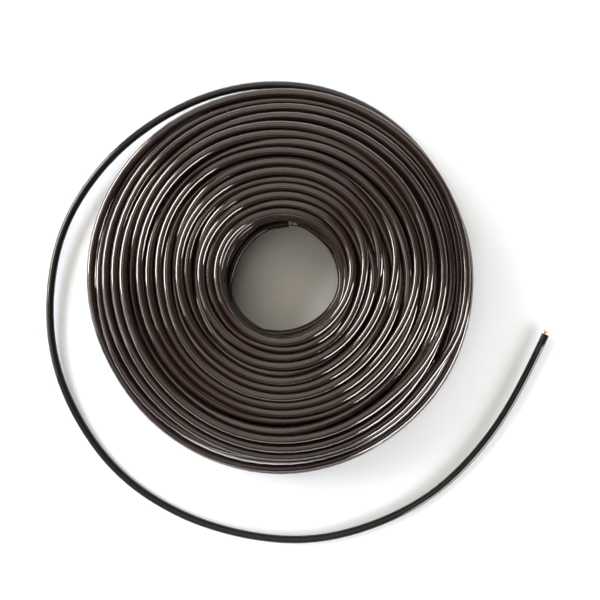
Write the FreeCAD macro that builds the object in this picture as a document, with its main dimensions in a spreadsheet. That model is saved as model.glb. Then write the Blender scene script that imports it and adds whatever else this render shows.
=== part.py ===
import FreeCAD, Part
import math
import os
import Sketcher

# A coil of black stranded wire whose loose last turn and outer end run free round it.
# The coil lies flat, its axis along Z, its underside at Z = 0 and its axis at the origin.
# Every size is in millimetres and every angle in degrees.

V = FreeCAD.Vector

os.makedirs("parts", exist_ok=True)
doc = FreeCAD.newDocument("wire_coil")

# Driving dimensions
dimensions = [
    ("wire_diameter", 3.0, "over the insulation"),
    ("strand_diameter", 0.52, "one copper strand"),
    ("strand_gap", 0.02, "between neighbouring strands"),
    ("conductor_clearance", 0.1, "between the copper and the insulation round it"),
    ("strand_seat", 5.0, "loose strand inside the insulation"),
    ("strand_end_gap", 0.1, "between a strand's inner end and what it ends at"),
    ("bore_diameter", 44.0, "clear hole through the coil"),
    ("coil_diameter", 141.4, "over the outermost turns"),
    ("coil_height", 35.5, "from the floor to the top of the highest turns"),
    ("bore_corner", 6.0, "rounding of the bore's top edge, at the wire's centre"),
    ("shoulder_radius", 15.0, "rounding of the coil's outer top edge, at the wire's centre"),
    ("foot_corner", 1.2, "rounding of the coil's lower outer edge"),
    ("turn_gap", 0.5, "between neighbouring turns"),
    ("seat_gap", 0.3, "between the outer turns and the winding under them"),
    ("leave_height", 5.0, "under the wire where it leaves the coil"),
    ("leave_angle", 117.5, "where the last turn leaves the coil, from +X"),
    ("leave_run", 25.0, "first straight run of the free end"),
    ("inner_angle", 102.0, "where the first turn begins in the bore, from +X"),
    ("inner_depth", 17.5, "from the top turns down to the wire's inner end"),
    ("inner_spring", 3.2, "how far the inner end stands off the bore's wall"),
    ("spring_angle", 120.0, "stretch of the first turn that stands off the wall"),
    ("inner_straight", 6.0, "straight length at the inner end"),
]

# Bare length and outward bend of each strand, the middle one first and then round it
outer_bare = (1.5, 1.7, 1.3, 1.6, 1.2, 1.6, 1.8)
outer_bend = (6.0, 34.0, 12.0, 30.0, 24.0, 10.0, 36.0)
inner_bare = (2.9, 3.2, 2.5, 2.9, 3.3, 2.7, 3.1)
inner_bend = (8.0, 26.0, 14.0, 22.0, 32.0, 12.0, 24.0)

# The free end's route after its first run: degrees round the coil from +X, the clear
# distance from the coil's side and the clear height under the wire
free_points = (
    (161.5, 2.5, 5.0),
    (183.5, 3.5, 5.0),
    (205.5, 4.5, 5.0),
    (225.5, 5.0, 5.0),
    (246.0, 5.0, 5.0),
    (266.5, 5.0, 5.0),
    (286.5, 4.0, 5.0),
    (307.0, 3.0, 5.0),
    (328.0, 3.0, 5.0),
    (349.0, 2.5, 4.5),
    (10.0, 2.5, 4.5),
    (31.0, 1.5, 4.5),
    (52.0, 3.5, 4.5),
    (72.5, 5.0, 4.5),
    (92.5, 6.0, 4.5),
    (112.0, 7.5, 4.0),
    (131.5, 10.0, 4.0),
    (149.5, 14.0, 4.0),
    (167.0, 19.0, 3.5),
    (183.5, 22.5, 2.5),
    (199.5, 26.5, 1.5),
    (215.0, 29.0, 0.5),
    (230.0, 31.5, 0.0),
    (245.0, 32.0, 0.0),
    (259.5, 32.5, 0.0),
    (274.5, 34.0, 0.0),
    (289.0, 33.5, 0.5),
    (304.0, 33.5, 0.5),
    (318.5, 32.0, 1.0),
    (333.5, 32.0, 1.5),
    (348.0, 34.5, 2.0),
)

sheet = doc.addObject("Spreadsheet::Sheet", "sizes")
strand_cells = []
for end, bares, bends in (("outer", outer_bare, outer_bend), ("inner", inner_bare, inner_bend)):
    for number, (bare, bend) in enumerate(zip(bares, bends), 1):
        strand_cells.append((f"{end}_bare_{number}", bare, "bare length of one strand"))
        strand_cells.append((f"{end}_bend_{number}", bend, "outward bend of one strand"))
for row, (alias, value, note) in enumerate(dimensions + strand_cells, 1):
    sheet.set(f"A{row}", str(value))
    sheet.set(f"B{row}", note)
    sheet.setAlias(f"A{row}", alias)
doc.recompute()


def size(alias):
    return float(sheet.get(alias))


wire_radius = size("wire_diameter") / 2
copper_radius = 1.5 * size("strand_diameter") + size("strand_gap")
copper_bore = copper_radius + size("conductor_clearance")
strand_pocket = size("strand_seat") + size("strand_end_gap")
top_centre = size("coil_height") - wire_radius
bore_path = size("bore_diameter") / 2 + wire_radius
wall_path = size("coil_diameter") / 2 - wire_radius
leave_centre = size("leave_height") + wire_radius
inner_centre = top_centre - size("inner_depth")


# The line that the outer turns follow in section, from the inner end up the bore's wall,
# out over the top and down the outer wall. Each stretch has a length and gives the
# radius, the height and their directions at a distance along it.

def section_stretches():
    corner = size("bore_corner")
    shoulder = size("shoulder_radius")
    rise = top_centre - corner - inner_centre
    flat = wall_path - shoulder - bore_path - corner
    fall = top_centre - shoulder - leave_centre

    def up(along):
        return bore_path, inner_centre + along, 0.0, 1.0

    def over_bore(along):
        turn = along / corner
        return (bore_path + corner * (1 - math.cos(turn)), top_centre - corner * (1 - math.sin(turn)),
                math.sin(turn), math.cos(turn))

    def across(along):
        return bore_path + corner + along, top_centre, 1.0, 0.0

    def over_shoulder(along):
        turn = along / shoulder
        return (wall_path - shoulder * (1 - math.sin(turn)), top_centre - shoulder * (1 - math.cos(turn)),
                math.cos(turn), -math.sin(turn))

    def down(along):
        return wall_path, top_centre - shoulder - along, 0.0, -1.0

    quarter = math.pi / 2
    return ((rise, up), (corner * quarter, over_bore), (flat, across),
            (shoulder * quarter, over_shoulder), (fall, down))


stretches = section_stretches()
section_length = sum(length for length, _ in stretches)


def section_at(along):
    for length, place in stretches[:-1]:
        if along <= length:
            return place(along)
        along -= length
    return stretches[-1][1](along)


# Whole turns that fit with the wanted gap, and the part turn between the two ends
part_turn = ((size("leave_angle") - size("inner_angle")) / 360) % 1
wanted_pitch = size("wire_diameter") + size("turn_gap")
turns = math.floor(section_length / wanted_pitch - part_turn) + part_turn
pitch = section_length / turns


def turn_point(turned):
    """The wire's centre and its direction after so many turns."""
    along = pitch * turned
    radius, height, radius_rate, height_rate = section_at(along)
    span = size("spring_angle") / 360
    if turned < span:
        phase = math.pi * turned / span
        radius -= size("inner_spring") * (1 + math.cos(phase)) / 2
        radius_rate += size("inner_spring") * math.sin(phase) * math.pi / (2 * span * pitch)
    angle = math.radians(size("inner_angle")) + 2 * math.pi * turned
    outward = V(math.cos(angle), math.sin(angle), 0)
    around = V(-math.sin(angle), math.cos(angle), 0)
    direction = outward * (radius_rate * pitch) + V(0, 0, height_rate * pitch) + around * (2 * math.pi * radius)
    return outward * radius + V(0, 0, height), direction.normalize()


def arc_from(start, direction, end):
    """The arc that leaves start in that direction and passes through end."""
    chord = end - start
    along = V(chord).normalize()
    side = direction - along * direction.dot(along)
    half_turn = math.acos(max(-1.0, min(1.0, direction.dot(along))))
    middle = (start + end) * 0.5 + side.normalize() * (chord.Length / 2 * math.tan(half_turn / 2))
    return Part.Arc(start, middle, end)


def two_arcs(start, start_direction, end, end_direction):
    """Two arcs that meet smoothly and join two points with a direction at each."""
    chord = end - start
    both = start_direction + end_direction
    bend = 2 * (1 - start_direction.dot(end_direction))
    reach = (math.sqrt(chord.dot(both) ** 2 + bend * chord.dot(chord)) - chord.dot(both)) / bend
    joint = (start + end + (start_direction - end_direction) * reach) * 0.5
    back = arc_from(end, end_direction * -1, joint)
    middle = back.value((back.FirstParameter + back.LastParameter) / 2)
    return [arc_from(start, start_direction, joint), Part.Arc(joint, middle, end)]


def tube(path, radius):
    """A round tube along a wire that starts straight."""
    first = path.OrderedEdges[0]
    start = first.valueAt(first.FirstParameter)
    direction = first.tangentAt(first.FirstParameter)
    ring = Part.Wire([Part.makeCircle(radius, start, direction)])
    return path.makePipeShell([ring], True, False)


def compare_volume(name, solid, area, length):
    print(f"{name}: {length:.1f} mm long, volume {solid.Volume / (area * length):.4f} of section times length")


# Outer turns: one unbroken wire
quarters = math.ceil(4 * turns)
stations = [turn_point(turns * step / quarters) for step in range(quarters + 1)]
inner_start, inner_way = stations[0]
leave_start, leave_way = stations[-1]
inner_face = inner_start - inner_way * size("inner_straight")
free_start = leave_start + leave_way * size("wire_diameter")

turn_curves = [Part.LineSegment(inner_face, inner_start)]
for (start, start_way), (end, end_way) in zip(stations, stations[1:]):
    turn_curves += two_arcs(start, start_way, end, end_way)
turn_curves.append(Part.LineSegment(leave_start, free_start))
turn_path = Part.Wire([curve.toShape() for curve in turn_curves])
outer_turns = tube(turn_path, wire_radius)
compare_volume("outer turns", outer_turns, math.pi * wire_radius ** 2, turn_path.Length)
print(f"{turns:.2f} turns, {pitch:.3f} mm apart along the section")
print(f"tightest bend of the turns {min(edge.Curve.Radius for edge in turn_path.Edges[1:-1]):.1f} mm")


def least_gap(steps_a_turn=48):
    """The least gap between the wire's surface and the same wire over half a turn away."""
    count = int(turns * steps_a_turn)
    places = [turn_point(turns * step / count)[0] for step in range(count + 1)]
    flat = [(place.x, place.y, place.z) for place in places]
    nearest = math.inf
    for first, (x, y, z) in enumerate(flat):
        for other in flat[first + steps_a_turn // 2:first + 3 * steps_a_turn]:
            apart = (x - other[0]) ** 2 + (y - other[1]) ** 2 + (z - other[2]) ** 2
            nearest = min(nearest, apart)
    return math.sqrt(nearest) - size("wire_diameter")


print(f"least gap between turns {least_gap():.3f} mm")

inner_pocket = Part.makeCylinder(copper_bore, strand_pocket, inner_face, inner_way)
outer_turns = outer_turns.cut(inner_pocket)


# Free end: straight runs joined by tangent arcs, each from this share of its shorter run
trim_share = 0.45


def rounded_path(points):
    """A wire through the points whose corners are as round as their two runs allow."""
    edges = []
    radii = []
    here = points[0]
    for before, corner, after in zip(points, points[1:], points[2:]):
        arriving = V(corner - before).normalize()
        leaving = V(after - corner).normalize()
        trim = trim_share * min((corner - before).Length, (after - corner).Length)
        half_turn = arriving.getAngle(leaving) / 2
        radius = trim / math.tan(half_turn)
        inward = V(leaving - arriving).normalize()
        start = corner - arriving * trim
        end = corner + leaving * trim
        middle = corner + inward * (radius / math.cos(half_turn) - radius)
        edges.append(Part.LineSegment(here, start).toShape())
        edges.append(Part.Arc(start, middle, end).toShape())
        radii.append(radius)
        here = end
    edges.append(Part.LineSegment(here, points[-1]).toShape())
    return Part.Wire(edges), radii


route = [free_start, free_start + leave_way * size("leave_run")]
for degrees, stand_off, clear in free_points:
    angle = math.radians(degrees)
    reach = size("coil_diameter") / 2 + stand_off + wire_radius
    route.append(V(reach * math.cos(angle), reach * math.sin(angle), clear + wire_radius))
free_path, free_radii = rounded_path(route)
free_way = V(route[-1] - route[-2]).normalize()
print("radii of the free end:", ", ".join(f"{radius:.0f}" for radius in free_radii))
compare_volume("free end", tube(free_path, wire_radius), math.pi * wire_radius ** 2, free_path.Length)
free_insulation = tube(free_path, wire_radius).cut(tube(free_path, copper_bore))

# The conductor inside the free end stops where its strands are modelled one by one
last_edge = free_path.OrderedEdges[-1]
conductor_end = route[-1] - free_way * strand_pocket
conductor_edges = free_path.OrderedEdges[:-1]
conductor_edges.append(Part.LineSegment(last_edge.valueAt(last_edge.FirstParameter), conductor_end).toShape())
conductor_path = Part.Wire(conductor_edges)
free_conductor = tube(conductor_path, copper_radius)


def keep_shape(name, shape):
    """Puts a finished shape into the document under its own name."""
    feature = doc.addObject("Part::Feature", name)
    feature.Label = name
    feature.Shape = shape
    feature.Placement = FreeCAD.Placement()
    return feature


sub_parts = [
    keep_shape("outer_turns", outer_turns),
    keep_shape("free_end_insulation", free_insulation),
    keep_shape("free_end_conductor", free_conductor),
]


def origin_plane(body, role):
    return next(plane for plane in body.Origin.OriginFeatures if plane.Role == role)


def new_sketch(body, name, role):
    sketch = body.newObject("Sketcher::SketchObject", name)
    sketch.AttachmentSupport = [(origin_plane(body, role), "")]
    sketch.MapMode = "FlatFace"
    return sketch


def bind(sketch, kind, *where, name, formula, value):
    """Adds a dimension to a sketch and ties it to the sheet."""
    index = sketch.addConstraint(Sketcher.Constraint(kind, *where, value))
    sketch.renameConstraint(index, name)
    sketch.setExpression(f"Constraints.{name}", formula)


# Inner winding: the packed turns under the outer ones, as one plain ring.
# A ledge in the bore and a foot outside reach as far as the turns above them.

def build_inner_winding():
    body = doc.addObject("PartDesign::Body", "inner_winding")
    body.Label = "inner_winding"
    sketch = new_sketch(body, "winding_section", "XZ_Plane")
    inset = wire_radius + size("seat_gap")
    bore = size("bore_diameter") / 2
    wall = size("coil_diameter") / 2
    ledge = inner_centre - inset - size("seat_gap")
    foot = leave_centre - inset - size("seat_gap")
    top = top_centre - inset
    corner = size("bore_corner") - inset
    shoulder = size("shoulder_radius") - inset
    inside = bore_path + inset
    outside = wall_path - inset
    outline = [(bore, 0), (wall, 0), (wall, foot), (outside, foot), (outside, top - shoulder),
               (outside - shoulder, top), (inside + corner, top), (inside, top - corner),
               (inside, ledge), (bore, ledge)]
    lines = {}
    for number, (start, end) in enumerate(zip(outline, outline[1:] + outline[:1])):
        if number in (4, 6):
            turned = 0 if number == 4 else math.pi / 2
            radius = shoulder if number == 4 else corner
            centre = V(outside - shoulder, top - shoulder, 0) if number == 4 else V(inside + corner, top - corner, 0)
            circle = Part.Circle(centre, V(0, 0, 1), radius)
            lines[number] = sketch.addGeometry(Part.ArcOfCircle(circle, turned, turned + math.pi / 2), False)
        else:
            lines[number] = sketch.addGeometry(Part.LineSegment(V(*start, 0), V(*end, 0)), False)
    for number in range(len(outline)):
        following = (number + 1) % len(outline)
        kind = "Tangent" if number in (3, 4, 5, 6) else "Coincident"
        sketch.addConstraint(Sketcher.Constraint(kind, lines[number], 2, lines[following], 1))
    for number in (0, 2, 8):
        sketch.addConstraint(Sketcher.Constraint("Horizontal", lines[number]))
    for number in (1, 3, 5, 7, 9):
        kind = "Horizontal" if number == 5 else "Vertical"
        sketch.addConstraint(Sketcher.Constraint(kind, lines[number]))
    sketch.addConstraint(Sketcher.Constraint("PointOnObject", lines[0], 1, -1))
    inset_words = "(sizes.wire_diameter / 2 + sizes.seat_gap)"
    bind(sketch, "DistanceX", -1, 1, lines[0], 1, name="bore", value=bore,
         formula="sizes.bore_diameter / 2")
    bind(sketch, "DistanceX", -1, 1, lines[0], 2, name="wall", value=wall,
         formula="sizes.coil_diameter / 2")
    bind(sketch, "DistanceY", -1, 1, lines[2], 1, name="foot", value=foot,
         formula="sizes.leave_height - 2 * sizes.seat_gap")
    bind(sketch, "DistanceX", -1, 1, lines[3], 1, name="outside", value=outside,
         formula="sizes.coil_diameter / 2 - sizes.wire_diameter - sizes.seat_gap")
    bind(sketch, "DistanceY", -1, 1, lines[5], 1, name="top", value=top,
         formula="sizes.coil_height - sizes.wire_diameter - sizes.seat_gap")
    bind(sketch, "DistanceX", -1, 1, lines[7], 2, name="inside", value=inside,
         formula="sizes.bore_diameter / 2 + sizes.wire_diameter + sizes.seat_gap")
    bind(sketch, "DistanceY", -1, 1, lines[9], 1, name="ledge", value=ledge,
         formula="sizes.coil_height - sizes.inner_depth - sizes.wire_diameter - 2 * sizes.seat_gap")
    bind(sketch, "Radius", lines[4], name="shoulder", value=shoulder,
         formula=f"sizes.shoulder_radius - {inset_words}")
    bind(sketch, "Radius", lines[6], name="corner", value=corner,
         formula=f"sizes.bore_corner - {inset_words}")
    winding = body.newObject("PartDesign::Revolution", "winding")
    winding.Profile = sketch
    winding.ReferenceAxis = (sketch, ["V_Axis"])
    winding.Angle = 360
    doc.recompute()
    rounded = body.newObject("PartDesign::Fillet", "foot_rounding")
    rounded.Base = (winding, [outer_floor_edge(winding.Shape)])
    rounded.setExpression("Radius", "sizes.foot_corner")
    return body


def outer_floor_edge(shape):
    """The name of the widest circle on the floor."""
    circles = [(edge.Curve.Radius, f"Edge{number}") for number, edge in enumerate(shape.Edges, 1)
               if edge.BoundBox.ZMax < 1e-6 and edge.Curve.TypeId == "Part::GeomCircle"]
    return max(circles)[1]


sub_parts.append(build_inner_winding())


# Copper strands at the two bare ends: one in the middle and six round it. Each runs
# straight inside the insulation and bends outwards where it is bare.
ring_strands = len(outer_bare) - 1
first_strand_turn = 15.0


def build_strand(end, number, face, way, side, around):
    name = f"{end}_strand_{number}"
    body = doc.addObject("PartDesign::Body", name)
    body.Label = name
    section = new_sketch(body, f"{name}_section", "XY_Plane")
    circle = section.addGeometry(Part.Circle(V(0, 0, 0), V(0, 0, 1), size("strand_diameter") / 2), False)
    section.addConstraint(Sketcher.Constraint("Coincident", circle, 3, -1, 1))
    bind(section, "Diameter", circle, name="across", value=size("strand_diameter"),
         formula="sizes.strand_diameter")

    bare = f"sizes.{end}_bare_{number}"
    bend = f"sizes.{end}_bend_{number}"
    seat = size("strand_seat")
    turned = math.radians(size(f"{end}_bend_{number}"))
    radius = size(f"{end}_bare_{number}") / turned
    spine = new_sketch(body, f"{name}_spine", "XZ_Plane")
    straight = spine.addGeometry(Part.LineSegment(V(0, 0, 0), V(0, seat, 0)), False)
    centre = Part.Circle(V(radius, seat, 0), V(0, 0, 1), radius)
    curved = spine.addGeometry(Part.ArcOfCircle(centre, math.pi - turned, math.pi), False)
    spine.addConstraint(Sketcher.Constraint("Coincident", straight, 1, -1, 1))
    spine.addConstraint(Sketcher.Constraint("Vertical", straight))
    spine.addConstraint(Sketcher.Constraint("Tangent", straight, 2, curved, 2))
    bind(spine, "DistanceY", straight, 1, straight, 2, name="seat", value=seat,
         formula="sizes.strand_seat")
    bind(spine, "Radius", curved, name="bend_radius", value=radius,
         formula=f"{bare} * 180 / ({bend} * pi)")
    bind(spine, "DistanceY", straight, 2, curved, 1, name="rise", value=radius * math.sin(turned),
         formula=f"{bare} * 180 / ({bend} * pi) * sin({bend} * 1 deg)")

    strand = body.newObject("PartDesign::AdditivePipe", f"{name}_sweep")
    strand.Profile = section
    strand.Spine = (spine, [])
    turn = math.radians(360 / ring_strands * (number - 2) + first_strand_turn)
    out = side * math.cos(turn) + around * math.sin(turn)
    off_centre = 0 if number == 1 else size("strand_diameter") + size("strand_gap")
    place = face - way * seat + out * off_centre
    body.Placement = FreeCAD.Placement(place, FreeCAD.Rotation(out, way.cross(out), way, "ZXY"))
    return body


for end, face, way in (("outer", route[-1], free_way), ("inner", inner_face, inner_way * -1)):
    side = V(0, 0, 1).cross(way).normalize()
    around = way.cross(side)
    for number in range(1, len(outer_bare) + 1):
        sub_parts.append(build_strand(end, number, face, way, side, around))

doc.recompute()

faults = [thing.Label for thing in doc.Objects if "Invalid" in thing.State or "Error" in thing.State]
faults += [part.Label for part in sub_parts if part.Shape.isNull() or not part.Shape.isValid()]
if faults:
    raise RuntimeError(f"not made: {faults}")

for part in sub_parts:
    part.Shape.exportStep(f"parts/{part.Label}.step")
    box = part.Shape.BoundBox
    print(f"{part.Label}: {len(part.Shape.Solids)} solid, {part.Shape.Volume:.2f} mm3, "
          f"Z {box.ZMin:.2f} to {box.ZMax:.2f}")
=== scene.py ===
import math

import bpy
import numpy as np
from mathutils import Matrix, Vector


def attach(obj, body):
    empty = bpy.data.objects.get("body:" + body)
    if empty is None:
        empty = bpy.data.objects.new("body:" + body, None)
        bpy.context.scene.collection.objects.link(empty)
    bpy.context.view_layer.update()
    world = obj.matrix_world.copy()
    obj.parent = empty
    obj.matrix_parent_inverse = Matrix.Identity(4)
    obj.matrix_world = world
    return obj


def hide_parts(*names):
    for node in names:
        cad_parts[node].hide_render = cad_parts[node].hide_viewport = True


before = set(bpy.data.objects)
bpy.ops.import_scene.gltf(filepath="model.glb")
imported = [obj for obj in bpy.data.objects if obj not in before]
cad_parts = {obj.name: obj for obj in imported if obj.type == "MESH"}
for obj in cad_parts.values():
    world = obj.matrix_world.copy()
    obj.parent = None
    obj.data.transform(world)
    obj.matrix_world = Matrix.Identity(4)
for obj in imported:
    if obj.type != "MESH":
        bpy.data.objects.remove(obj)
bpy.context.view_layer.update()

# A coil of glossy black building wire, lying flat. One wire of about 50 m is laid turn by turn
# in layers, from its inner end in the bore out to the loose last turn and the free outer end.
# Metres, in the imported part's own frame: the coil's axis is Z and it lies on Z = 0.


# Camera: above the coil, looking straight down

cameraValues = {
    "eye": (0.00608, -0.00831, 0.284),
    "halfView": 0.1216,  # of the floor, from the middle of the picture to its edge
    "nearest": 0.01,
}


def makeCamera(values):
    data = bpy.data.cameras.new("camera")
    camera = bpy.data.objects.new("camera", data)
    bpy.context.scene.collection.objects.link(camera)
    camera.location = values["eye"]
    data.angle = 2 * math.atan(values["halfView"] / values["eye"][2])
    data.clip_start = values["nearest"]
    bpy.context.scene.camera = camera


makeCamera(cameraValues)
print("camera made")


# The wire's line. The winding is laid ring by ring, settled until its turns lie side by side, and
# then joined to the free end's route to make one NURBS spline.

wireValues = {
    "diameter": 0.003,
    "length": 50.0,  # a trade coil
    "copperBore": 0.0009,  # radius of the hollow at each cut end
    "strandSeat": 0.0051,  # depth of that hollow
    "innerFace": (0.00165, 0.02110, 0.01633),  # middle of the inner cut end
    "innerWay": (-0.978, -0.208, 0.028),  # the way in which the wire sets out from it
    "innerLead": 0.003,  # how far along that way its second control point lies
    "resolution": 6,  # points read from the spline for each of its control points
    "strands": 7,  # of copper at each cut end
}

windingValues = {
    "stations": 24,  # control points in each turn
    "startAngle": 102.0,  # degrees from +X
    "boreRadius": 0.0235,
    "layers": 15,
    "layerPitch": 0.00304,
    "ringPitch": 0.00325,
    "ringSqueeze": 0.95,  # share of that pitch down to which a layer's rings may be squeezed
    "lowest": 0.0015,
    "highest": 0.034,
    "wallRadius": 0.0692,
    "shoulder": 0.015,  # radius of the rounding from the top to the outer wall
    "coreRings": 5,  # rings of the short first layer, which the low rings of the others go round
    "openRing": 5,  # ring that the first full layer leaves out, where the inner end lies
    "wallRings": 7,  # rings of the last layer that stand out as far as the low ones
    "crossing": 0.16,  # share of a turn in which the wire steps over to its next ring
    "firstCrossing": 28.0,  # degrees from +X
    "crossingDrift": -4.0,  # degrees from one layer to the next
    "wander": 0.00045,  # how far a turn strays from its place
    "topWander": 0.0005,
    "sag": 0.9,  # how far a ring lies below its place, in wanders
    "waves": (1, 2, 3, 5, 8),  # slow waves along the wire: how many in a turn
    "topPower": 3,  # how fast the top turns' shifts die away below them
    "sink": 0.0042,  # depth of a turn that has sunk between its neighbours
    "proud": 0.0005,  # how far a turn may ride up over the others
    "seed": 7,

    # How far the bore's wall leans in above its ledge, by degrees from +X, and at what height
    "lean": (
        (0, 0.0004), (30, 0.0008), (50, 0.0019), (64, 0.0019), (76, 0.0003), (96, 0.0003), (110, 0.0004),
        (135, 0.0005), (160, 0.0005), (205, 0.0002), (290, 0.0003), (305, 0.0008), (330, 0.0005),
    ),
    "leanHeight": 0.0225,
    "leanReach": 0.0052,
    "leanDepth": 0.001,  # turns this near to the bore's wall lean in

    # The wire's inner end lies free inside that wall for most of a turn: radius and height of its
    # first control points
    "innerEnd": (
        (0.0206, 0.0165), (0.0202, 0.0166), (0.0196, 0.0168), (0.0195, 0.0170),
        (0.0197, 0.0171), (0.0204, 0.0172), (0.0218, 0.0174), (0.0231, 0.0176),
        (0.0234, 0.0177), (0.0231, 0.0176), (0.0222, 0.0173), (0.0215, 0.0171),
        (0.0212, 0.0170), (0.0211, 0.0170), (0.0215, 0.0170), (0.0219, 0.0170),
        (0.0226, 0.0170), (0.0228, 0.0169), (0.0227, 0.0168), (0.0228, 0.0167),
        (0.0223, 0.0165), (0.0221, 0.0162), (0.0229, 0.0152), (0.0235, 0.0138),
    ),

    # How the top turns lie: degrees from +X, then each layer's top turn from the bore out, its
    # radius in millimetres, negative where the turn has sunk
    "topAngles": (0, 45, 90, 135, 180, 225, 270, 315, 345),
    "topTurns": (
        (24.1, 23.5, 23.2, 24.4, 23.8, 23.2, 23.0, 23.2, 23.8),
        (-26.2, 26.0, 25.8, 26.9, 25.9, 25.7, 25.6, 25.1, -25.6),
        (28.2, 28.2, 28.5, 29.6, 28.4, 28.7, 28.4, 27.3, 27.4),
        (31.2, 31.0, 31.4, 32.5, -31.0, 31.7, 31.3, 30.0, 30.6),
        (-33.4, 33.7, 34.5, 34.7, 33.6, -33.7, 34.2, -32.3, -32.8),
        (35.7, 36.5, 37.5, 37.4, 36.4, 36.0, 37.1, 34.7, 35.0),
        (-38.5, 39.6, 40.5, 41.0, -38.8, 39.0, 40.1, 37.7, -38.1),
        (41.3, -41.8, -42.5, -43.6, 41.1, 41.9, 43.0, 40.8, 41.2),
        (44.4, 44.3, 44.5, 46.5, 43.9, 44.6, 45.9, 44.1, 44.6),
        (47.7, 47.5, 47.4, -49.0, 47.3, 47.3, 48.8, 47.2, 47.9),
        (-50.9, 50.8, 50.4, 51.8, 50.6, 50.0, -51.6, 50.2, -50.9),
        (54.2, 54.1, 53.8, 54.9, -53.2, -52.4, 54.5, -52.8, 53.8),
        (57.3, 57.7, 57.1, -57.6, 55.9, 55.4, 57.9, 55.2, 56.5),
        (-60.1, 61.0, 60.7, 60.8, 59.3, 58.9, 61.6, 59.0, -59.4),
        (63.2, 64.4, 64.6, 64.4, 63.2, 62.8, 65.5, 63.4, 62.3),
    ),

    # How far the turn on the shoulder stands out, by degrees from +X
    "shoulderOut": (
        (0, 0.0010), (90, 0.0010), (180, 0.0026), (207, 0.0034),
        (228, 0.0031), (245, 0.0022), (270, 0.0007), (300, 0.0005),
    ),

    # Loose last turn: degrees from +X counted on, radius and height of the wire's centre
    "lastTurn": (
        (340.0, 0.0664, 0.0287),
        (400.0, 0.0660, 0.0283),
        (460.0, 0.0662, 0.0277),
        (480.0, 0.0673, 0.0270),
        (500.0, 0.0689, 0.0260),
        (520.0, 0.0701, 0.0250),
        (545.0, 0.0711, 0.0235),
        (570.0, 0.0709, 0.0215),
        (600.0, 0.0724, 0.0185),
        (630.0, 0.0728, 0.0156),
        (660.0, 0.0722, 0.0127),
        (720.0, 0.0725, 0.0090),
        (780.0, 0.0717, 0.0075),
        (837.0, 0.0724, 0.0065),
    ),
}

# How the laid turns are pushed apart where they overlap, round by round
settleValues = {
    "rounds": 320,
    "searchEvery": 16,  # rounds from one search for close turns to the next
    "searchReach": 1.6,  # diameters
    "stiffness": 0.25,  # share by which a point follows its neighbours along the wire
    "pull": 0.03,  # share by which it goes back to its planned place in the first round
    "passes": 2,
    "push": 0.42,  # share of an overlap by which each of two turns gives way
    "boreSlack": 0.0004,  # how far a turn may come into the bore
    "noted": 0.0002,  # deeper overlaps count in the share that is printed
}

# Free end: degrees from +X, stand-off from the coil's side and clear height under the wire
freeValues = {
    "coilSide": 0.0707,
    "route": (
        (139.5, 0.0018, 0.0050),
        (161.5, 0.0025, 0.0050),
        (183.5, 0.0035, 0.0050),
        (205.5, 0.0045, 0.0050),
        (225.5, 0.0050, 0.0050),
        (246.0, 0.0050, 0.0050),
        (266.5, 0.0050, 0.0050),
        (286.5, 0.0040, 0.0050),
        (307.0, 0.0030, 0.0050),
        (328.0, 0.0030, 0.0050),
        (349.0, 0.0025, 0.0045),
        (10.0, 0.0025, 0.0045),
        (31.0, 0.0015, 0.0045),
        (52.0, 0.0035, 0.0045),
        (72.5, 0.0050, 0.0045),
        (92.5, 0.0060, 0.0045),
        (112.0, 0.0075, 0.0040),
        (131.5, 0.0100, 0.0040),
        (149.5, 0.0140, 0.0040),
        (167.0, 0.0190, 0.0035),
        (183.5, 0.0225, 0.0025),
        (199.5, 0.0265, 0.0015),
        (215.0, 0.0290, 0.0005),
        (230.0, 0.0315, 0.0),
        (245.0, 0.0320, 0.0),
        (259.5, 0.0325, 0.0),
        (274.5, 0.0340, 0.0),
        (289.0, 0.0335, 0.0005),
        (304.0, 0.0335, 0.0005),
        (318.5, 0.0320, 0.0010),
        (333.5, 0.0320, 0.0015),
        (348.0, 0.0345, 0.0020),
    ),
}

plainRing, topRing, shoulderRing = 0, 1, 2  # kinds of ring


def topHeight(values, radius):
    over = np.maximum(radius - (values["wallRadius"] - values["shoulder"]), 0.0)
    drop = values["shoulder"] - np.sqrt(np.maximum(values["shoulder"] ** 2 - over ** 2, 0.0))
    return values["highest"] - drop


# Radius, height, kind and layer of each ring, in the order in which it is wound
def planRings(values):
    rings = []
    for number in reversed(range(values["coreRings"])):
        rings.append((values["boreRadius"], values["lowest"] + values["ringPitch"] * number, plainRing, 1))
    for layer in range(1, values["layers"] + 1):
        radius = values["boreRadius"] + values["layerPitch"] * (layer - 1)
        top = float(topHeight(values, radius))
        count = int((top - values["lowest"]) / (values["ringPitch"] * values["ringSqueeze"])) + 1
        pitch = (top - values["lowest"]) / (count - 1)
        last = layer == values["layers"]
        lowRings = values["wallRings"] if last else values["coreRings"]
        layerRings = []
        for number in range(count):
            if layer == 1 and number == values["openRing"]:
                continue
            kind = plainRing
            if number == count - 1:
                kind = topRing
            elif last and number == lowRings:
                kind = shoulderRing
            out = values["layerPitch"] if number < lowRings else 0.0
            layerRings.append((radius + out, values["lowest"] + pitch * number, kind, layer))
        rings += layerRings if layer % 2 else reversed(layerRings)
    return rings


# For each layer, how far its top turn is out of its place at each station, and how deep it lies
def topShifts(values, stationAngles):
    shifts = []
    for layer, turns in enumerate(values["topTurns"]):
        turns = np.array(turns)
        plain = values["boreRadius"] + values["layerPitch"] * layer
        out = np.interp(stationAngles, values["topAngles"], np.abs(turns) / 1000 - plain, period=360)
        sunk = np.where(turns < 0, values["sink"], 0.0)
        depth = np.interp(stationAngles, values["topAngles"], sunk, period=360)
        shifts.append([(np.roll(row, 1) + 2 * row + np.roll(row, -1)) / 4 for row in (out, depth)])
    return np.array(shifts)


def smooth(share):
    share = np.clip(share, 0.0, 1.0)
    return share * share * (3 - 2 * share)


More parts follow.
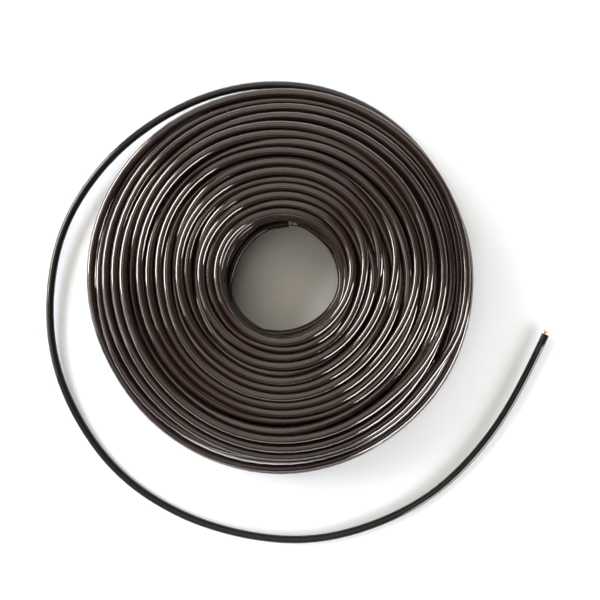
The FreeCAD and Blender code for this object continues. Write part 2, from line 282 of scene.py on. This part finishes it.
# Turns counted from the start, and the planned radius and height, at each control point
def layTargets(values):
    rings = planRings(values)
    rng = np.random.default_rng(values["seed"])
    count = len(rings)
    radius, height, kind, layer = (np.array(column, float) for column in zip(*rings))
    layer = layer.astype(int) - 1
    spread = np.where(kind == topRing, values["topWander"], values["wander"])
    height = height - np.abs(rng.normal(0, values["sag"], count)) * spread

    stations = values["stations"]
    firstShare = 1 - (values["startAngle"] - values["firstCrossing"]) / 360
    ringShare = 1 + values["crossingDrift"] / 360 / (count / values["layers"])
    ends = firstShare + ringShare * np.arange(count)  # turns at which each ring ends
    total = int(round(ends[-1] * stations)) + 1
    turned = np.arange(total) / stations
    ring = np.minimum(np.searchsorted(ends, turned), count - 1)
    following = np.minimum(ring + 1, count - 1)
    before = np.maximum(ring - 1, 0)
    half = values["crossing"] / 2
    leaving = smooth((turned - (ends[ring] - half)) / (2 * half))
    arriving = smooth((turned - (ends[before] - half)) / (2 * half))
    arriving = np.where(ring == 0, 1.0, arriving)

    def blend(perRing):
        here = perRing(ring) * arriving + perRing(before) * (1 - arriving)
        return here * (1 - leaving) + perRing(following) * leaving

    angle = math.radians(values["startAngle"]) + 2 * math.pi * turned
    station = np.arange(total) % stations
    stationAngles = (values["startAngle"] + 360 / stations * np.arange(stations)) % 360
    shifts = topShifts(values, stationAngles)
    share = height / values["highest"]
    nearTop = share ** values["topPower"]
    stepAngles, steps = zip(*values["shoulderOut"])
    stepOut = np.interp(stationAngles, stepAngles, steps, period=360)

    def ringRadius(index):
        shifted = nearTop[index] * shifts[layer[index], 0, station]
        return radius[index] + np.where(kind[index] == shoulderRing, stepOut[station], shifted)

    def ringHeight(index):
        return height[index] - share[index] * shifts[layer[index], 1, station]

    targets = np.stack([blend(ringRadius), blend(ringHeight)], axis=1)
    for order in values["waves"]:
        size = rng.normal(0, 1 / order, (count, 2)) * spread[:, None]
        phase = rng.uniform(0, 2 * math.pi, (count, 2))
        for column in (0, 1):
            targets[:, column] += blend(
                lambda index: size[index, column] * np.cos(order * angle + phase[index, column]))
    return turned, targets


def addLastTurn(values, turned, targets):
    startAngle = values["startAngle"] + 360 * turned[-1]
    lapsed = startAngle - startAngle % 360
    if startAngle % 360 < 180:
        lapsed -= 360
    degrees, radii, heights = (np.array(column) for column in zip(*values["lastTurn"]))
    degrees = degrees + lapsed
    step = 360 / values["stations"]
    more = np.arange(startAngle + step, degrees[-1] + step / 2, step)
    knots = np.concatenate([[startAngle], degrees])
    radius = np.interp(more, knots, np.concatenate([[targets[-1, 0]], radii]))
    height = np.interp(more, knots, np.concatenate([[targets[-1, 1]], heights]))
    extra = np.stack([radius, height], axis=1)
    moreTurned = (more - values["startAngle"]) / 360
    return np.concatenate([turned, moreTurned]), np.concatenate([targets, extra])


def lean(values, turned, height):
    degrees = (values["startAngle"] + 360 * turned) % 360
    angles, sizes = zip(*values["lean"])
    return np.interp(degrees, angles, sizes, period=360) * np.exp(
        -((height - values["leanHeight"]) / values["leanReach"]) ** 2)


def closePairs(places, stations, reach):
    pairs = []
    for station in range(stations):
        own = np.arange(station, len(places), stations)
        gap = np.linalg.norm(places[own][:, None] - places[own][None], axis=2)
        first, second = np.nonzero(np.triu(gap < reach, 1))
        pairs.append(np.stack([own[first], own[second]], axis=1))
    return np.concatenate(pairs)


def settle(values, winding, turned, targets, diameter):
    places = targets.copy()
    count = len(places)
    wound = slice(winding["stations"], None)
    for turn in range(values["rounds"]):
        if turn % values["searchEvery"] == 0:
            pairs = closePairs(places, winding["stations"], values["searchReach"] * diameter)
        ease = 1 - turn / values["rounds"]
        moved = places - targets
        moved[1:-1] += values["stiffness"] * (0.5 * (moved[:-2] + moved[2:]) - moved[1:-1])
        places = targets + moved * (1 - values["pull"] * ease)
        for _ in range(values["passes"]):
            apart = places[pairs[:, 1]] - places[pairs[:, 0]]
            gap = np.maximum(np.linalg.norm(apart, axis=1), 1e-6)  # never zero
            push = np.maximum(diameter - gap, 0.0) * values["push"] / gap
            for column in (0, 1):
                shift = push * apart[:, column]
                places[:, column] += np.bincount(pairs[:, 1], shift, count)
                places[:, column] -= np.bincount(pairs[:, 0], shift, count)
            places[:, 1] = np.clip(places[:, 1], winding["lowest"], winding["highest"] + winding["proud"])
            leaning = lean(winding, turned[wound], places[wound, 1])
            narrowest = winding["boreRadius"] - values["boreSlack"] - leaning
            places[wound, 0] = np.maximum(places[wound, 0], narrowest)
    apart = places[pairs[:, 1]] - places[pairs[:, 0]]
    overlap = diameter - np.linalg.norm(apart, axis=1)
    deeper = np.mean(overlap > values["noted"])
    print(f"winding settled, deepest overlap {1000 * overlap.max():.2f} mm, "
          f"{deeper:.1%} of pairs over {1000 * values['noted']:.1f}")
    return places


def windingPoints(values, settling, diameter):
    turned, targets = layTargets(values)
    turned, targets = addLastTurn(values, turned, targets)
    nearBore = targets[:, 0] < values["boreRadius"] + values["leanDepth"]
    targets[:, 0] -= np.where(nearBore, lean(values, turned, targets[:, 1]), 0.0)
    targets[:len(values["innerEnd"])] = values["innerEnd"]
    places = settle(settling, values, turned, targets, diameter)
    outset = 1 / math.cos(math.pi / values["stations"])  # an order 3 spline runs inside its points
    angle = math.radians(values["startAngle"]) + 2 * math.pi * turned
    reach = places[:, 0] * outset
    return np.stack([reach * np.cos(angle), reach * np.sin(angle), places[:, 1]], axis=1)


def freePoints(values, diameter):
    points = []
    for degrees, standOff, clear in values["route"]:
        reach = values["coilSide"] + standOff + diameter / 2
        angle = math.radians(degrees)
        points.append((reach * math.cos(angle), reach * math.sin(angle), clear + diameter / 2))
    return np.array(points)


def makeLine(wire, winding, settling, free):
    face = np.array(wire["innerFace"])
    start = np.stack([face, face + wire["innerLead"] * np.array(wire["innerWay"])])
    coil = windingPoints(winding, settling, wire["diameter"])
    route = np.concatenate([start, coil, freePoints(free, wire["diameter"])])
    data = bpy.data.curves.new("wireLine", "CURVE")
    data.dimensions = "3D"
    data.resolution_u = wire["resolution"]
    spline = data.splines.new("NURBS")
    spline.points.add(len(route) - 1)
    spline.points.foreach_set("co", np.concatenate([route, np.ones((len(route), 1))], axis=1).ravel())
    spline.order_u = 3
    spline.use_endpoint_u = True
    line = bpy.data.objects.new("wireLine", data)
    bpy.context.scene.collection.objects.link(line)
    bpy.context.view_layer.update()
    read = bpy.data.meshes.new_from_object(line.evaluated_get(bpy.context.evaluated_depsgraph_get()))
    points = np.empty(len(read.vertices) * 3, np.float32)
    read.vertices.foreach_get("co", points)
    bpy.data.meshes.remove(read)
    bpy.data.objects.remove(line)
    return points.reshape(-1, 3).astype(float)


wireLine = makeLine(wireValues, windingValues, settleValues, freeValues)
wireLength = float(np.linalg.norm(np.diff(wireLine, axis=0), axis=1).sum())
print(f"wire line read: {len(wireLine)} points, {wireLength:.2f} m")


# The wire's insulation: one tube along that line, hollow at both cut ends

tubeValues = {
    "sides": 12,
    "shownStep": 2,  # turns that show keep one of so many rings
    "hiddenStep": 6,
    "shownDepth": 0.0046,  # turns this near to the coil's surface count as shown
    "floorBand": 0.0002,  # and so do those this near to the floor
    "endRings": 6,  # all kept at the inner end
    "freeRadius": 0.0738,  # from where the wire first lies so far out, all are kept as well
    "endBevel": 0.00008,
}


def keptRings(line, values, winding):
    radius = np.hypot(line[:, 0], line[:, 1])
    depth = np.minimum(radius - winding["boreRadius"], topHeight(winding, radius) - line[:, 2])
    depth = np.minimum(depth, winding["wallRadius"] - radius)
    shown = (depth < values["shownDepth"]) | (line[:, 2] < winding["lowest"] + values["floorBand"])
    number = np.arange(len(line))
    keep = (shown & (number % values["shownStep"] == 0)) | (number % values["hiddenStep"] == 0)
    keep[:values["endRings"]] = True
    keep[np.argmax(radius > values["freeRadius"]):] = True
    return np.nonzero(keep)[0]


# The tube's rings of points, and how far along the wire each one lies
def makeSections(kept, values, wire):
    way = np.gradient(kept, axis=0)
    way /= np.linalg.norm(way, axis=1, keepdims=True)
    side = np.cross((0.0, 0.0, 1.0), way)
    side /= np.linalg.norm(side, axis=1, keepdims=True)
    lift = np.cross(way, side)
    along = np.concatenate([[0.0], np.cumsum(np.linalg.norm(np.diff(kept, axis=0), axis=1))])
    around = 2 * math.pi * np.arange(values["sides"]) / values["sides"]
    radius = wire["diameter"] / 2
    bore = wire["copperBore"]
    bevel = values["endBevel"]
    rings = [  # point of the path, radius and shift along the wire
        (0, bore, wire["strandSeat"]),
        (0, bore, bevel),
        (0, bore + bevel, 0.0),
        (0, radius - bevel, 0.0),
        (0, radius, bevel),
    ]
    rings += [(index, radius, 0.0) for index in range(1, len(kept) - 1)]
    rings += [(-1, size, -shift) for _, size, shift in reversed(rings[:5])]
    sections = []
    for index, size, shift in rings:
        centre = kept[index] + way[index] * shift
        spokes = np.cos(around)[:, None] * side[index] + np.sin(around)[:, None] * lift[index]
        sections.append(centre + size * spokes)
    return np.concatenate(sections), np.array([along[index] + shift for index, _, shift in rings])


# U is the length along the wire in metres, V goes once round it
def tubeUv(lengths, sides):
    rows = np.arange(len(lengths) - 1)
    steps = np.arange(sides)
    corners = [(rows, steps), (rows, steps + 1), (rows + 1, steps + 1), (rows + 1, steps)]
    pairs = [np.broadcast_arrays(lengths[row][:, None], step[None] / sides) for row, step in corners]
    return np.stack([np.stack(pair, axis=2) for pair in pairs], axis=2).reshape(-1, 2)


def makeTube(line, values, wire, winding):
    kept = line[keptRings(line, values, winding)]
    points, lengths = makeSections(kept, values, wire)
    sides = values["sides"]
    count = len(lengths)
    first = np.arange(count - 1)[:, None] * sides + np.arange(sides)[None]
    second = np.arange(count - 1)[:, None] * sides + (np.arange(sides) + 1)[None] % sides
    faces = np.stack([first, second, second + sides, first + sides], axis=2).reshape(-1, 4).tolist()
    faces.append(list(range(sides))[::-1])
    faces.append(list(range((count - 1) * sides, count * sides)))
    mesh = bpy.data.meshes.new("wire")
    mesh.from_pydata(points.tolist(), [], faces)
    uv = np.zeros((len(mesh.loops), 2))
    sideUv = tubeUv(lengths, sides)
    uv[:len(sideUv)] = sideUv
    mesh.uv_layers.new(name="UVMap").data.foreach_set("uv", uv.ravel())
    mesh.polygons.foreach_set("use_smooth", np.ones(len(mesh.polygons), bool))
    mesh.update()
    piece = bpy.data.objects.new("wire", mesh)
    bpy.context.scene.collection.objects.link(piece)
    print(f"tube made: {count} rings, {2 * sides * count} triangles")
    return piece, kept


wirePiece, wirePath = makeTube(wireLine, tubeValues, wireValues, windingValues)


# Materials

def linear(code):
    channels = []
    for place in (0, 2, 4):
        value = int(code[place:place + 2], 16) / 255
        channels.append(value / 12.92 if value <= 0.04045 else ((value + 0.055) / 1.055) ** 2.4)
    return (*channels, 1.0)


def perMetre(millimetres):
    return 1000 / millimetres


def newMaterial(name):
    material = bpy.data.materials.new(name)
    material.use_nodes = True
    return material, material.node_tree, material.node_tree.nodes["Principled BSDF"]


def addNode(tree, kind, settings=None, links=None, **values):
    node = tree.nodes.new(kind)
    for key, value in (settings or {}).items():
        setattr(node, key, value)
    for key, value in values.items():
        node.inputs[key.replace("_", " ")].default_value = value
    for key, source in (links or {}).items():
        tree.links.new(source, node.inputs[key])
    return node


pvcValues = {
    "colour": "261814",
    "dust": "8f8a84",
    "shadedEndColour": "191615",  # painted shade: the free end is drawn a darker black, for the light that falls off away from the coil
    "shadedFreeEnd": (0.62, 0.46),  # metres from the tip over which that sets in
    "wall": (2.2, 2.0),  # metres from the inner end over which the stretch that lines the bore, drawn with painted shade, ends
    "shine": (0.5, 0.22),  # glossy, with a weaker sheen at the free end and in the bore: painted shade, where less light reaches
    "ior": 1.7,  # PVC is about 1.54, and more gives the wet look
    "roughness": (0.06, 0.12),
    "handled": 11.111,  # millimetres from one more handled spot to the next
    "handledEdge": (0.35, 0.65),  # share of the noise over which the roughness changes
    "drawnLine": (25.0, 0.6732),  # millimetres long and wide
    "lineBump": (0.04, 0.0003),  # strength and metres high
    "swell": (9.0909, 3.1416),  # millimetres long and wide
    "swellBump": (0.12, 0.0004),
    "speckSpacing": 10.526,  # millimetres
    "speckRadius": (0.1053, 0.2316),  # millimetres over which a speck of dust fades
}


# Extruded soft PVC, pulled through a round die: a deep brown-black with a wet-looking shine,
# faint lines along it and a slight swell. Real die lines are finer than these, which are as
# coarse as they need to be to show.
def extrudedPvc(values, wire, length):
    material, tree, shader = newMaterial("extrudedPvc")
    girth = math.pi * 1000 * wire["diameter"]  # millimetres
    uv = addNode(tree, "ShaderNodeUVMap", {"uv_map": "UVMap"})
    lengthways = addNode(tree, "ShaderNodeMapping", links={"Vector": uv.outputs["UV"]},
                         Scale=(perMetre(values["drawnLine"][0]), girth / values["drawnLine"][1], 1.0))
    drawn = addNode(tree, "ShaderNodeTexNoise", {"noise_dimensions": "2D"},
                    {"Vector": lengthways.outputs["Vector"]}, Scale=1.0, Detail=3.0)
    wavy = addNode(tree, "ShaderNodeMapping", links={"Vector": uv.outputs["UV"]},
                   Scale=(perMetre(values["swell"][0]), girth / values["swell"][1], 1.0))
    uneven = addNode(tree, "ShaderNodeTexNoise", {"noise_dimensions": "2D"},
                     {"Vector": wavy.outputs["Vector"]}, Scale=1.0, Detail=1.0)
    swell = addNode(tree, "ShaderNodeBump", None, {"Height": uneven.outputs["Fac"]},
                    Strength=values["swellBump"][0], Distance=values["swellBump"][1])
    bump = addNode(tree, "ShaderNodeBump", None,
                   {"Height": drawn.outputs["Fac"], "Normal": swell.outputs["Normal"]},
                   Strength=values["lineBump"][0], Distance=values["lineBump"][1])
    tree.links.new(bump.outputs["Normal"], shader.inputs["Normal"])

    place = addNode(tree, "ShaderNodeTexCoord")
    handled = addNode(tree, "ShaderNodeTexNoise", None, {"Vector": place.outputs["Object"]},
                      Scale=perMetre(values["handled"]), Detail=3.0)
    rough = addNode(tree, "ShaderNodeMapRange", None, {"Value": handled.outputs["Fac"]},
                    From_Min=values["handledEdge"][0], From_Max=values["handledEdge"][1],
                    To_Min=values["roughness"][0], To_Max=values["roughness"][1])
    tree.links.new(rough.outputs["Result"], shader.inputs["Roughness"])

    # dust specks, over a black that is darker at the free end, which is painted shade
    specks = addNode(tree, "ShaderNodeTexVoronoi", None, {"Vector": place.outputs["Object"]},
                     Scale=perMetre(values["speckSpacing"]))
    speck = addNode(tree, "ShaderNodeMapRange", None, {"Value": specks.outputs["Distance"]},
                    From_Min=values["speckRadius"][0] / values["speckSpacing"],
                    From_Max=values["speckRadius"][1] / values["speckSpacing"], To_Min=1.0, To_Max=0.0)
    along = addNode(tree, "ShaderNodeSeparateXYZ", links={"Vector": uv.outputs["UV"]})
    outer = addNode(tree, "ShaderNodeMapRange", None, {"Value": along.outputs["X"]},
                    From_Min=length - values["shadedFreeEnd"][0], From_Max=length - values["shadedFreeEnd"][1])
    black = addNode(tree, "ShaderNodeMix", {"data_type": "RGBA"}, {"Factor": outer.outputs["Result"]})
    black.inputs["A"].default_value = linear(values["colour"])
    black.inputs["B"].default_value = linear(values["shadedEndColour"])
    colour = addNode(tree, "ShaderNodeMix", {"data_type": "RGBA"},
                     {"Factor": speck.outputs["Result"], "A": black.outputs["Result"]})
    colour.inputs["B"].default_value = linear(values["dust"])
    tree.links.new(colour.outputs["Result"], shader.inputs["Base Color"])

    # a weaker sheen at the free end and in the bore, which is painted shade
    inner = addNode(tree, "ShaderNodeMapRange", None, {"Value": along.outputs["X"]},
                    From_Min=values["wall"][0], From_Max=values["wall"][1])
    ends = addNode(tree, "ShaderNodeMath", {"operation": "MAXIMUM"},
                   {0: outer.outputs["Result"], 1: inner.outputs["Result"]})
    shine = addNode(tree, "ShaderNodeMapRange", None, {"Value": ends.outputs["Value"]},
                    To_Min=values["shine"][0], To_Max=values["shine"][1])
    tree.links.new(shine.outputs["Result"], shader.inputs["Specular IOR Level"])
    shader.inputs["IOR"].default_value = values["ior"]
    return material


copperValues = {
    "colour": "b06c3c",
    # the pale tint is painted in as glints: painted highlights
    "pale": "fff3e0",
    "roughness": 0.34,
    "paintedGlint": 0.5556,  # millimetres across
    "paintedGlintEdge": (0.42, 0.58),  # share of the noise over which the tints meet
}


# Drawn copper, in fine strands that were cut through: warm, with pale glints painted into its colour
# as painted highlights where light catches the strands. The glints are coarser than real sparkle, so that
# they show.
def drawnCopper(values):
    material, tree, shader = newMaterial("drawnCopper")
    place = addNode(tree, "ShaderNodeTexCoord")
    tint = addNode(tree, "ShaderNodeTexNoise", None, {"Vector": place.outputs["Object"]},
                   Scale=perMetre(values["paintedGlint"]), Detail=2.0)
    paintedGlint = addNode(tree, "ShaderNodeMapRange", None, {"Value": tint.outputs["Fac"]},
                    From_Min=values["paintedGlintEdge"][0], From_Max=values["paintedGlintEdge"][1])
    # pale glints painted into the colour: painted highlights
    colour = addNode(tree, "ShaderNodeMix", {"data_type": "RGBA"}, {"Factor": paintedGlint.outputs["Result"]})
    colour.inputs["A"].default_value = linear(values["colour"])
    colour.inputs["B"].default_value = linear(values["pale"])
    tree.links.new(colour.outputs["Result"], shader.inputs["Base Color"])
    shader.inputs["Metallic"].default_value = 1.0
    shader.inputs["Roughness"].default_value = values["roughness"]
    return material


pvc = extrudedPvc(pvcValues, wireValues, wireLength)
copper = drawnCopper(copperValues)
wirePiece.data.materials.append(pvc)
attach(wirePiece, "root")
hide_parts("inner_winding", "outer_turns", "free_end_insulation", "free_end_conductor")

for end in ("outer", "inner"):
    for number in range(1, wireValues["strands"] + 1):
        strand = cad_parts[f"{end}_strand_{number}"]
        strand.data.materials.clear()
        strand.data.materials.append(copper)

print("materials and cord set")


# Studio: a pale floor, three lamps that light everything, three that light surfaces alone and
# three that show in reflections alone

studioValues = {
    "floor": "f8f8f7",
    "floorPale": "fbfbfa",
    "floorSize": 8.0,
    "floorRoughness": 0.8,
    "grain": 16.667,  # millimetres from one paler spot of the floor to the next
    "fade": (0.22, 0.50),  # metres from the coil over which the floor turns into the white background
    "room": "585858",
    "horizon": 95.0,  # brightness of the bright line where the room meets the floor
    "horizonEdge": (0.045, 0.085),  # sine of the height over which that line ends
    "backdropEdge": (0.14, 0.22),  # sine of the height over which reflections of the white background end
}

lampValues = {
    # degrees round from +X, degrees up, metres away, metres wide and tall, watts, colour, what it lights
    "ceilingBack": (106.0, 66.0, 1.1, 0.74, 0.74, 2.6, "fff5e2", "all"),
    "ceilingFront": (232.0, 71.0, 1.1, 0.80, 0.46, 1.5, "fff5e2", "all"),
    "back": (90.0, 27.0, 1.2, 1.7, 0.5, 4.3, "fbfcff", "all"),
    "left": (152.0, 36.0, 1.1, 0.8, 0.45, 13.5, "f2f7ff", "surface"),
    "right": (325.0, 30.0, 1.1, 1.0, 0.45, 8.2, "f2f7ff", "surface"),
    "front": (250.0, 28.0, 1.1, 1.2, 0.45, 5.5, "f2f7ff", "surface"),
    "leftStrip": (160.0, 28.0, 1.0, 0.70, 0.38, 18.0, "fff8f2", "shine"),
    "leftFade": (190.0, 30.0, 1.0, 0.34, 0.34, 1.8, "fff8f2", "shine"),
    "rightStrip": (326.0, 22.0, 1.0, 0.98, 0.36, 23.0, "fff8f2", "shine"),
}


# Gloss and glass see the white background too
def mirroredRay(tree, ray):
    return addNode(tree, "ShaderNodeMath", {"operation": "MAXIMUM"},
                   {0: ray.outputs["Is Glossy Ray"], 1: ray.outputs["Is Transmission Ray"]}).outputs["Value"]


# Matt painted board: a white that is only just uneven, and plain white further off
def whiteBoard(values):
    material, tree, shader = newMaterial("whiteBoard")
    place = addNode(tree, "ShaderNodeTexCoord")
    grain = addNode(tree, "ShaderNodeTexNoise", None, {"Vector": place.outputs["Object"]},
                    Scale=perMetre(values["grain"]), Detail=4.0)
    colour = addNode(tree, "ShaderNodeMix", {"data_type": "RGBA"}, {"Factor": grain.outputs["Fac"]})
    colour.inputs["A"].default_value = linear(values["floor"])
    colour.inputs["B"].default_value = linear(values["floorPale"])
    tree.links.new(colour.outputs["Result"], shader.inputs["Base Color"])
    shader.inputs["Roughness"].default_value = values["floorRoughness"]
    shader.inputs["Specular IOR Level"].default_value = 0.0
    distance = addNode(tree, "ShaderNodeVectorMath", {"operation": "LENGTH"}, {0: place.outputs["Object"]})
    far = addNode(tree, "ShaderNodeMapRange", {"interpolation_type": "SMOOTHSTEP"},
                  {"Value": distance.outputs["Value"]},
                  From_Min=values["fade"][0], From_Max=values["fade"][1])
    ray = addNode(tree, "ShaderNodeLightPath")
    seen = addNode(tree, "ShaderNodeMath", {"operation": "MAXIMUM"},
                   {0: ray.outputs["Is Camera Ray"], 1: mirroredRay(tree, ray)})
    shown = addNode(tree, "ShaderNodeMath", {"operation": "MULTIPLY"},
                    {0: far.outputs["Result"], 1: seen.outputs["Value"]})
    white = addNode(tree, "ShaderNodeEmission")
    both = addNode(tree, "ShaderNodeMixShader", None,
                   {0: shown.outputs["Value"], 1: shader.outputs["BSDF"], 2: white.outputs["Emission"]})
    tree.links.new(both.outputs["Shader"], tree.nodes["Material Output"].inputs["Surface"])
    return material


def makeFloor(values):
    half = values["floorSize"] / 2
    corners = [(-half, -half, 0), (half, -half, 0), (half, half, 0), (-half, half, 0)]
    mesh = bpy.data.meshes.new("floor")
    mesh.from_pydata(corners, [], [(0, 1, 2, 3)])
    floor = bpy.data.objects.new("floor", mesh)
    bpy.context.scene.collection.objects.link(floor)
    floor.data.materials.append(whiteBoard(values))


# A dark room with a bright line at the floor. The camera sees white all round, and reflections
# see that white only low down, because the wire is black under a dark room.
def makeWorld(values):
    world = bpy.data.worlds.new("studio")
    bpy.context.scene.world = world
    world.use_nodes = True
    tree = world.node_tree
    place = addNode(tree, "ShaderNodeTexCoord")
    way = addNode(tree, "ShaderNodeSeparateXYZ", links={"Vector": place.outputs["Generated"]})
    low = addNode(tree, "ShaderNodeMapRange", {"interpolation_type": "SMOOTHSTEP"},
                  {"Value": way.outputs["Z"]}, From_Min=values["horizonEdge"][0],
                  From_Max=values["horizonEdge"][1], To_Min=values["horizon"], To_Max=1.0)
    background = tree.nodes["Background"]
    tree.links.new(low.outputs["Result"], background.inputs["Strength"])
    background.inputs["Color"].default_value = linear(values["room"])
    wall = addNode(tree, "ShaderNodeMapRange", {"interpolation_type": "SMOOTHSTEP"},
                   {"Value": way.outputs["Z"]}, From_Min=values["backdropEdge"][0],
                   From_Max=values["backdropEdge"][1], To_Min=1.0, To_Max=0.0)
    ray = addNode(tree, "ShaderNodeLightPath")
    mirroredWall = addNode(tree, "ShaderNodeMath", {"operation": "MULTIPLY"},
                           {0: wall.outputs["Result"], 1: mirroredRay(tree, ray)})
    mirroredWhite = addNode(tree, "ShaderNodeBackground", None, {"Strength": mirroredWall.outputs["Value"]},
                            Color=(1.0, 1.0, 1.0, 1.0))
    studio = addNode(tree, "ShaderNodeAddShader", None,
                     {0: background.outputs["Background"], 1: mirroredWhite.outputs["Background"]})
    white = addNode(tree, "ShaderNodeBackground", Color=(1.0, 1.0, 1.0, 1.0))
    both = addNode(tree, "ShaderNodeMixShader", None,
                   {0: ray.outputs["Is Camera Ray"], 1: studio.outputs["Shader"],
                    2: white.outputs["Background"]})
    tree.links.new(both.outputs["Shader"], tree.nodes["World Output"].inputs["Surface"])


def makeLamp(name, around, up, away, wide, tall, watts, colour, lights):
    data = bpy.data.lights.new(name, "AREA")
    data.shape = "RECTANGLE"
    data.size = wide
    data.size_y = tall
    data.energy = watts
    data.color = linear(colour)[:3]
    lamp = bpy.data.objects.new(name, data)
    bpy.context.scene.collection.objects.link(lamp)
    around = math.radians(around)
    up = math.radians(up)
    way = Vector((math.cos(up) * math.cos(around), math.cos(up) * math.sin(around), math.sin(up)))
    lamp.location = way * away
    lamp.rotation_mode = "QUATERNION"
    lamp.rotation_quaternion = way.to_track_quat("Z", "Y")
    lamp.visible_camera = False
    lamp.visible_diffuse = lights != "shine"
    lamp.visible_glossy = lights != "surface"


makeFloor(studioValues)
makeWorld(studioValues)
for name, row in lampValues.items():
    makeLamp(name, *row)
bpy.context.scene.view_settings.view_transform = "Standard"

print("studio made")
